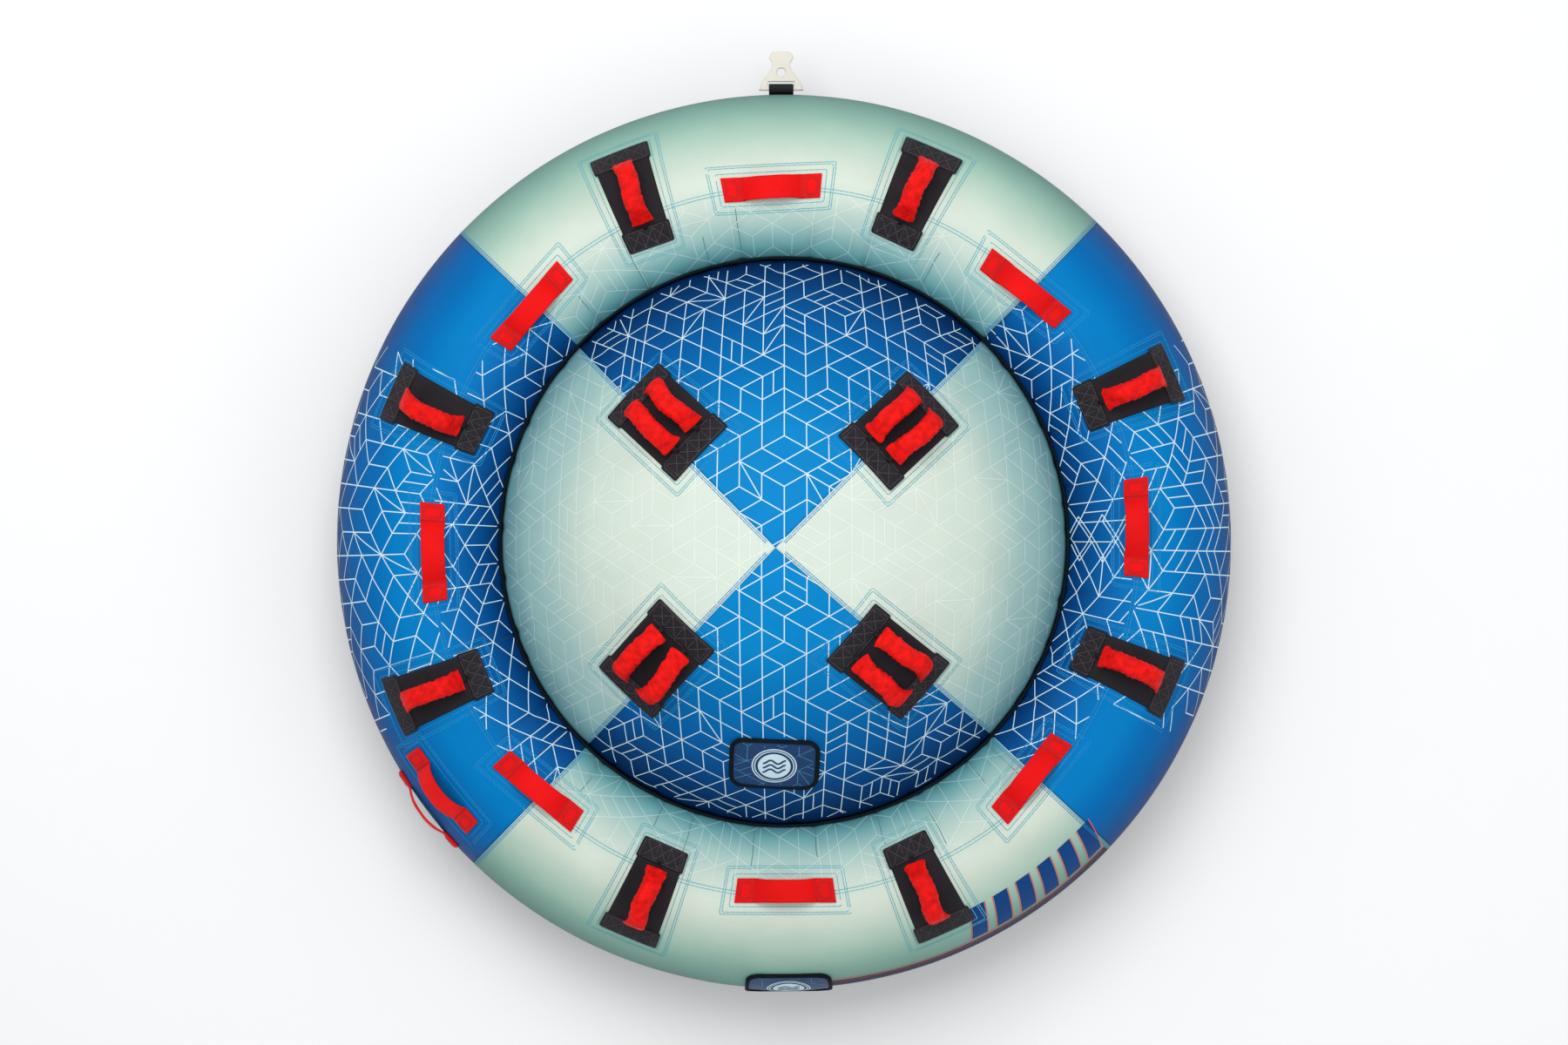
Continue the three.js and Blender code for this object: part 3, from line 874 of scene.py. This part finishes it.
def pad(name, chart, length, width):
    """Neoprene pad with a wider sewn band over each end, cross stitched."""

    def rolled(u, v):
        return 0.0026 + 0.0012 * exp(-(((abs(v) - width / 2 + 0.007) / 0.005) ** 2))

    piece = cushion(name + "_cover", chart, length, width, 0.010, LIFT, rolled, black_pad)
    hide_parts(name)
    threads = Ribbons()
    for end, tag in ((-1, "a"), (1, "b")):
        centre = end * (length / 2 - 0.021)

        def puffed(u, v):
            rough = rough_at(u * 80, v * 80, end)
            return 0.0018 + quilt(u, v, width) + 0.0006 * rough

        band = cushion(f"{name}_band_{tag}", shifted(chart, centre), 0.044, width + 0.009, 0.004,
                       LIFT + 0.0028, puffed, black_band, cell=0.004, edge=0.003)
        lay = raised(chart, centre, 0.0054)
        half, cells = width / 2, cells_across(width)
        for n in range(cells):
            v0, v1 = (-half + 0.008 + (width - 0.016) * k / cells for k in (n, n + 1))
            for start, stop in ((v0, v1), (v1, v0), (v0, v0)):
                threads.stitches([(-0.017, start), (0.017, stop)], lay)
        threads.stitches(loop_path(0.0185, half - 0.002, 0.003), lay)
    threads.build(name + "_threads", thread_grey)


def grip(name, chart, offset, lean, seed):
    """Foam grip in a puckered fabric sleeve, arched between its sewn ends."""
    a, b = chart(-GRIP_LENGTH / 2, offset, GRIP_LIFT), chart(GRIP_LENGTH / 2, offset, GRIP_LIFT)
    along = (b - a).normalized()
    span = (b - a).length
    crown = chart(0, offset, GRIP_LIFT)
    up = (crown - chart(0, offset, 0)).normalized()
    bulge = (crown - (a + b) / 2).length
    turn = Matrix.Rotation(rad(lean), 3, along)
    side = turn @ up.cross(along)
    up = turn @ up
    ends = [0.0, 0.03, 0.045, 0.054, 0.0575, 0.061]
    stations = ends + [0.066 + 0.868 * k / 48 for k in range(49)] + [1 - x for x in reversed(ends)]
    around_n, verts, uvs = 30, [], []
    shift = Vector((seed * 3.1, seed * 1.7, 0))
    for x in stations:
        e = 2 * x - 1
        height = (GRIP_RISE + bulge) * (1 - abs(e) ** GRIP_POWER)
        slope = (GRIP_RISE + bulge) * -GRIP_POWER * abs(e) ** (GRIP_POWER - 1)
        slope = slope * copysign(2, e) / span
        tangent = (along + up * slope).normalized()
        normal = tangent.cross(side)
        edge = min(x, 1 - x)
        mouth, frill = ease(0.053, 0.060, edge), 1 - ease(0.06, 0.17, edge)
        wide = 0.0045 + mouth * (0.0152 + 0.0034 * frill)
        thick = 0.0012 + 0.0023 * mouth + 0.0115 * ease(0.06, 0.26, edge)
        bow = 0.0050 * sin(pi * x) * rough_at(x * 2.4, seed * 5.3, 0.5) * 2
        centre = a + along * (x * span) + up * height + side * bow
        for s in range(around_n):
            w = 2 * pi * s / around_n
            c, d = cos(w), sin(w)
            k = (abs(c) ** 2.6 + abs(d) ** 2.6) ** (-1 / 2.6)
            puck = noise.noise(Vector((x * 24, d * 1.2, c * 1.2)) + shift)
            puck += 0.5 * noise.noise(Vector((x * 55, d * 2.2, c * 2.2)) + shift)
            grow = 1 + mouth * 0.12 * puck + mouth * 0.03 * abs(c) ** 3 * sin(x * 75 + seed)
            cuff = mouth * frill * 0.0022 * rough_at(x * 20, c * 3.4, seed * 2.0)
            slip = mouth * frill * 0.0030 * rough_at(c * 2.6, seed * 4.0, e)
            verts.append(centre + side * (wide * k * c * grow)
                         + normal * (thick * k * d * grow + cuff) + tangent * slip)
            uvs.append((x * 0.15, w * 0.02))
    n, faces = len(stations), []
    for i in range(n - 1):
        for s in range(around_n):
            p, q = i * around_n + s, i * around_n + (s + 1) % around_n
            faces.append((p, q, q + around_n, p + around_n))
    faces += [tuple(reversed(range(around_n))), tuple(range((n - 1) * around_n, n * around_n))]
    tongue = [1 if min(f) // around_n < 3 or max(f) // around_n > n - 4 else 0 for f in faces]
    piece = mesh_object(name + "_sleeve", verts, outward(verts, faces),
                        [red_sleeve, black_webbing], uvs, name, True, tongue)
    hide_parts(name)


for k, (az, phi, turn, lean) in enumerate(RING_PADS):
    chart = ring_chart(az, phi, turn, True)
    pad(f"ring_pad_{k + 1}", chart, *RING_PAD_SIZE)
    grip(f"ring_grip_{k + 1}", chart, 0.0, lean, k + 1)
    frame_stitches(chart, *RING_PAD_SIZE, FRAME_OFFSETS, pick_ring(chart))
for k, (az, reach, turn, lean) in enumerate(DOME_PADS):
    chart = dome_chart(az, reach, turn, True)
    pad(f"dome_pad_{k + 1}", chart, *DOME_PAD_SIZE)
    grip(f"dome_grip_{k + 1}a", chart, -0.029, -lean, 20 + k)
    grip(f"dome_grip_{k + 1}b", chart, 0.029, lean, 30 + k)
    frame_stitches(chart, *DOME_PAD_SIZE, FRAME_OFFSETS, pick_dome(chart))


# ---- webbing handles ----
def strap(name, chart, seed, rise):
    """Flat webbing sewn down over doubled ends, bowed off the cover between them."""
    half, tab, width, nu, nv = 0.101, 0.062, 0.050, 84, 12
    uvs = []

    def height(s):
        return rise * (1 - (abs(s) / tab) ** 2.4) if abs(s) < tab else 0.0

    def at(i, j, k):
        s, w = half * (2 * i / nu - 1), width * (j / nv - 0.5)
        uvs.append((s, w))
        cup = 0.0010 * (1 - (2 * w / width) ** 2) * rough_at(s * 22, 0, seed)
        free = ease(tab, tab - 0.02, abs(s))
        wave = free * 0.0014 * rough_at(s * 30, w * 25, seed * 3.3)
        w *= (1 - 0.05 * free) / (1 + height(s) / RING_r)
        return chart(s, w * (1 + 0.03 * rough_at(s * 25, 0, seed * 2)),
                     LIFT + height(s) + cup * free + wave + k * 0.0024)
    verts, faces = slab(nu, nv, at)
    piece = mesh_object(name + "_webbing", verts, faces, red_webbing, uvs)
    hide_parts(name)
    threads = Ribbons()
    for end, tag in ((-1, "a"), (1, "b")):
        centre = end * (half - 0.019)

        def doubled(u, v):
            return 0.0026 + 0.0007 * rough_at(u * 60, v * 60, end + seed)

        top = cushion(f"{name}_fold_{tag}", shifted(chart, centre), 0.037, width, 0.003,
                      LIFT + 0.0025, doubled, red_webbing, cell=0.003, edge=0.0016)
        lay = raised(chart, centre, 0.0053)
        threads.stitches(loop_path(0.013, 0.019, 0.009), lay, width=0.0012)
        threads.stitches(loop_path(0.0095, 0.0155, 0.006), lay, width=0.0012)
        # two dark red strips across the webbing at the inner edge of each doubled end: painted fold
        # shadow, in the thread colour
        for s0 in (-end * 0.0192, -end * 0.0225):
            fold_shadow_line = [(s0 + 0.0006 * rough_at(v * 3, seed, s0 * 99),
                     -0.0245 + 0.0049 * v) for v in range(11)]
            threads.strip(fold_shadow_line, raised(chart, centre, 0.0040), 0.0016, 0.0003)
    threads.build(name + "_threads", thread_and_fold_shadow_red)


HANDLES = [(f"strap_handle_{k + 1}", s, 0.027) for k, s in enumerate(STRAPS)]
HANDLES += [("side_strap_upper", (216, 43, 3), 0.020), ("side_strap_lower", (217, 78, 0), 0.014)]
for k, (name, place, rise) in enumerate(HANDLES):
    chart = ring_chart(*place)
    strap(name, chart, k + 1, rise)
    if name != "side_strap_lower":
        frame_stitches(chart, 0.202, 0.050, (0.009, 0.021, 0.0255), pick_ring(chart))
seams.build("cover_stitching", [thread_mint, thread_blue])

# ---- piping, base, zip ----
BEAD_R, BEAD_Z = 0.5895, 0.3962
bead = [Vector((BEAD_R * cos(rad(a)), BEAD_R * sin(rad(a)), BEAD_Z)) for a in range(360)]
cord = tube("seam_cord", bead, 0.0030, piping)
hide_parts("seam_piping")
rim = [ring_at(rad(a), rad(91), 0.0006, False) for a in range(360)]
tube("equator_cord", rim, 0.0018, piping, 8)

outer = [(RING_R + RING_r * sin(rad(a)), RING_r + RING_r * cos(rad(a)))
         for a in [180 - 89.85 * k / 26 for k in range(27)]]
inner = [(RING_R + 0.217 * sin(rad(a)), RING_r + 0.217 * cos(rad(a)))
         for a in [90.15 + 89.85 * k / 26 for k in range(27)]]
flat = [(RING_R * k / 8, 0.0) for k in range(8)]
base = lathe("base_panel", flat + outer + inner + [(0, 0.003)], 180, navy_base)
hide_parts("bottom_cover")

ZIP_FROM, ZIP_TO, ZIP_PHI = 210.0, 330.0, 101.0
TAPE_WIDTH, TOOTH_PITCH = 0.028, 0.0042
zip_run = rad(ZIP_TO - ZIP_FROM) * ZIP_R


def tape_at(x, y, h):
    return ring_at(rad(ZIP_FROM) + x / ZIP_R, rad(ZIP_PHI) + y / RING_r, h, False)


verts, faces = slab(240, 8, lambda i, j, k: tape_at(
    zip_run * i / 240, TAPE_WIDTH * (j / 8 - 0.5), LIFT + 0.0012 * k))
grid = [(i, j) for i in range(241) for j in range(9)]
tape = mesh_object("zip_tape", verts, faces, zip_tape,
                   [(zip_run * i / 240, TAPE_WIDTH * j / 8) for i, j in grid * 2])
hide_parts("zip_chain")
teeth_v, teeth_f = [], []
for n in range(int(zip_run / TOOTH_PITCH)):
    for row in (-1, 1):
        x, y0, y1 = n * TOOTH_PITCH + (0.0021 if row > 0 else 0), -row * 0.0008, row * 0.0034
        start = len(teeth_v)
        for h in (LIFT + 0.0011, LIFT + 0.0030):
            for dx, y in ((-0.0009, y0), (0.0009, y0), (0.0011, y1), (-0.0011, y1)):
                teeth_v.append(tape_at(x + dx, y, h))
        box = [(0, 1, 2, 3), (4, 5, 6, 7), (0, 1, 5, 4), (1, 2, 6, 5), (2, 3, 7, 6), (3, 0, 4, 7)]
        teeth_f += [tuple(start + i for i in f) for f in box]
teeth = mesh_object("zip_teeth", teeth_v, teeth_f, zip_tooth, smooth=False)

zip_chart = ring_chart(ZIP_TO - 2.5, ZIP_PHI)
slider = cushion("zip_slider_body", zip_chart, 0.024, 0.013, 0.004, 0.0045,
                 lambda u, v: 0.0052 + 0.0008 * cos(u * 120), valve_plastic, "zip_slider",
                 cell=0.0012, edge=0.002)
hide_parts("zip_slider")
pull = cushion("zip_pull", shifted(zip_chart, 0.018), 0.036, 0.008, 0.003, 0.0082,
               lambda u, v: 0.0018, valve_plastic, "zip_slider", cell=0.0012, edge=0.001)

# ---- valves and their flaps ----
for node in ("ring_bladder", "dome_bladder"):
    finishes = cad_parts[node].data.materials
    finishes.clear()
    finishes.append(vinyl)
for kind, chart, depth in (("ring", RING_FLAP, 0.007), ("dome", DOME_FLAP, 0.0075)):
    matrix = flap_frame(chart, depth)
    collar = lathe(f"{kind}_valve_collar", [
        (0.017, 0.0004), (0.0176, 0.001), (0.0260, 0.001), (0.0264, 0.0004), (0.0270, 0.001),
        (0.0290, 0.001), (0.0294, 0.0005), (0.0294, -0.009), (0.0210, -0.009),
        (0.0210, -0.026), (0.0170, -0.026),
    ], 64, valve_plastic, matrix)
    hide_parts(f"{kind}_valve")
    cap = lathe(f"{kind}_valve_lid", [
        (0, -0.006), (0.0150, -0.006), (0.0156, -0.005), (0.0156, 0.0014), (0.0244, 0.0014),
        (0.0250, 0.0020), (0.0250, 0.0038), (0.0244, 0.0044), (0.0190, 0.0044), (0.0184, 0.0036),
        (0.0090, 0.0036), (0.0084, 0.0044),
        (0, 0.0044),
    ], 64, valve_plastic, matrix, f"{kind}_valve_cap")
    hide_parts(f"{kind}_valve_cap")
    flap_body = f"{kind}_valve_flap"
    crown = lambda u, v: 0.0034 + 0.0014 * (1 - (u / 0.09) ** 2) * (1 - (v / 0.065) ** 2)
    flap = cushion(f"{kind}_flap_panel", chart, 0.180, 0.131, 0.026, LIFT, crown, navy_flap,
                   flap_body, cell=0.005)
    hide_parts(flap_body)
    edge_path = [chart(u, v, LIFT + 0.0032) for u, v in loop_path(0.0870, 0.0625, 0.026, 12)[:-1]]
    normal = (chart(0, 0, 0.01) - chart(0, 0, 0)).normalized()
    rim_cord = tube(f"{kind}_flap_piping", edge_path, 0.0048, piping, 8, flap_body, normal)
    top = lambda x, y, h: chart(x, y, LIFT + crown(x, y) + h)
    art = Ribbons()
    rounds = [(0.0445, 0.0028), (0.0395, 0.0022)]
    rounds += [(0.0015 + 0.003 * n, 0.0031) for n in range(11)]
    for r, w in rounds:
        circle = [(r * cos(rad(a)), r * sin(rad(a))) for a in range(0, 361, 6)]
        art.strip(circle, top, w, 0.0006)
    for y0 in (-0.012, 0.0, 0.012):
        wave_path = [(x / 1000, y0 + 0.0045 * sin(x / 1000 * 210)) for x in range(-23, 24)]
        art.strip(wave_path, top, 0.0042, 0.0011, pick=1)

    def inside(x, y):
        return "flap" if abs(x) < 0.083 and abs(y) < 0.058 and hypot(x, y) > 0.048 else None

    quiet = Ribbons()
    draw(lattice(0.040, -0.09, -0.07, 0.09, 0.07, 12), {"flap": quiet}, inside, top, 0.0014)
    quiet.build(f"{kind}_flap_lines", flap_line, flap_body)
    art.build(f"{kind}_flap_print", [line_white, navy_flap], flap_body)

# ---- tow loop and hook ----
HOOK = Vector((-0.006, 0.963, 0.235))


def wall(deg, off):
    """Reach and height of a point off the ring's section."""
    r = RING_r + off
    return (RING_R + r * sin(rad(deg)), RING_r + r * cos(rad(deg)))


loop = [wall(d, 0.0042) for d in range(113, 93, -2)]
loop += [(0.9560, 0.2215), (0.9595, 0.2270)]
loop += [(HOOK.y + 0.0086 * cos(rad(a)), HOOK.z + 0.0086 * sin(rad(a)))
         for a in range(-90, 196, 12)]
loop += [wall(d, 0.0018) for d in range(87, 114, 2)]
uvs = []


def loop_at(i, j, k):
    a, b = loop[max(0, i - 1)], loop[min(len(loop) - 1, i + 1)]
    length = hypot(b[0] - a[0], b[1] - a[1])
    ny, nz = (b[1] - a[1]) / length, -(b[0] - a[0]) / length
    uvs.append((i * 0.004, j * 0.0043))
    t = (k - 0.5) * 0.0020
    return Vector((HOOK.x + 0.052 * (j / 12 - 0.5), loop[i][0] + ny * t, loop[i][1] + nz * t))


verts, faces = slab(len(loop) - 1, 12, loop_at)
tow = mesh_object("tow_loop", verts, faces, black_webbing, uvs)
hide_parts("tow_webbing")
box_threads = Ribbons()


def tail_at(x, y, h):
    return Vector((HOOK.x + x, *wall(103 + degrees(y / RING_r), 0.0053 + h)))


box_threads.stitches(loop_path(0.021, 0.026, 0.002), tail_at)
for line in (((-0.021, -0.026), (0.021, 0.026)), ((-0.021, 0.026), (0.021, -0.026))):
    box_threads.stitches(list(line), tail_at)
box_threads.build("tow_threads", thread_grey)

# right half of the hook's outline, in millimetres
PROFILE = [(41, 958.5), (44, 962), (44.5, 966.5), (41, 975.5), (34, 986), (27, 995), (21.5, 1004),
           (19, 1013), (21, 1020.5), (25, 1027), (24.5, 1033), (20, 1038.5), (12, 1040.5)]


def smooth_outline(points, steps=4):
    """Closed Catmull-Rom curve through points."""
    out, n = [], len(points)
    for k in range(n):
        p0, p1, p2, p3 = (Vector(points[(k + d) % n]) for d in (-1, 0, 1, 2))
        for s in range(steps):
            t = s / steps
            out.append(0.5 * ((2 * p1) + (p2 - p0) * t + (2 * p0 - 5 * p1 + 4 * p2 - p3) * t * t
                              + (3 * p1 - p0 - 3 * p2 + p3) * t ** 3))
    return out


def outline_curve(loops, depth, bevel):
    data = bpy.data.curves.new("outline", "CURVE")
    data.dimensions, data.fill_mode = "2D", "BOTH"
    data.extrude, data.offset = depth / 2 - bevel, -bevel
    data.bevel_depth, data.bevel_resolution = bevel, 3
    for pts in loops:
        spline = data.splines.new("POLY")
        spline.points.add(len(pts) - 1)
        for point, p in zip(spline.points, pts):
            point.co = (p[0], p[1], 0, 1)
        spline.use_cyclic_u = True
    return data


right = [(x / 1000, y / 1000) for x, y in PROFILE]
outline = smooth_outline(right + [(-x, y) for x, y in reversed(right)])
hole = [(0.009 * cos(rad(a)), 0.997 + 0.009 * sin(rad(a)))
        for a in range(0, 360, 10)]
slot_loop = [(u, v + 0.9725) for u, v in loop_path(0.028, 0.0045, 0.002, 4)[:-1]]
curve = outline_curve([outline, hole, slot_loop], 0.009, 0.0016)
holder = add_object("hook_outline", curve)
bpy.context.view_layer.update()
graph = bpy.context.evaluated_depsgraph_get()
hook_mesh = bpy.data.meshes.new_from_object(holder.evaluated_get(graph))
bpy.data.objects.remove(holder)
hook_mesh.transform(Matrix.Translation((HOOK.x, 0, HOOK.z)))
hook_mesh.materials.clear()
hook_mesh.materials.append(hook_plastic)
hook = add_object("tow_hook_plate", hook_mesh)
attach(hook, "tow_hook")
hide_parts("tow_hook")

# ---- printed band and slanted bars on the rear right wall ----
art = Ribbons()
BAND_FROM, BAND_TO, BAND_PHI = -85.4, -43.6, 65.6
NAVY, BAR, ORANGE = 0, 1, 2
low_at = wrapped(WALL_R)


def arc_of(phi):
    return [(rad(BAND_FROM + (BAND_TO - BAND_FROM) * n / 60) * WALL_R, rad(phi) * RING_r)
            for n in range(61)]


for n in range(15):
    art.strip(arc_of(BAND_PHI + 1.7 * n), low_at, 0.0068, 0.0004, pick=NAVY)
for phi in (63.0, 66.6):
    art.strip(arc_of(phi), low_at, 0.0020, 0.0006, pick=ORANGE)


def slanted(x0, pen, width, height):
    low, high, lean = rad(34) * RING_r, rad(61) * RING_r, 0.024
    pts = [(x0 + lean * (1 - t / 8), low + (high - low) * t / 8) for t in range(9)]
    art.strip(pts, low_at, width, height, pick=pen)


for n in range(6):
    x0 = (rad(-64.5) + rad(3.7) * n) * WALL_R
    for u in range(8):
        slanted(x0 + 0.0045 * u, BAR, 0.0047, 0.0004)
    for u in (-0.0045, 0.0360):
        slanted(x0 + u, ORANGE, 0.0021, 0.0005)
art.build("printed_bars", [navy_print, bar_print, orange_print])

# ---- floor ----
corners = [Vector((x, y, 0)) for x, y in ((-9, -9), (9, -9), (9, 9), (-9, 9))]
floor = mesh_object("floor", corners, [(0, 1, 2, 3)], floor_mat, None, None)
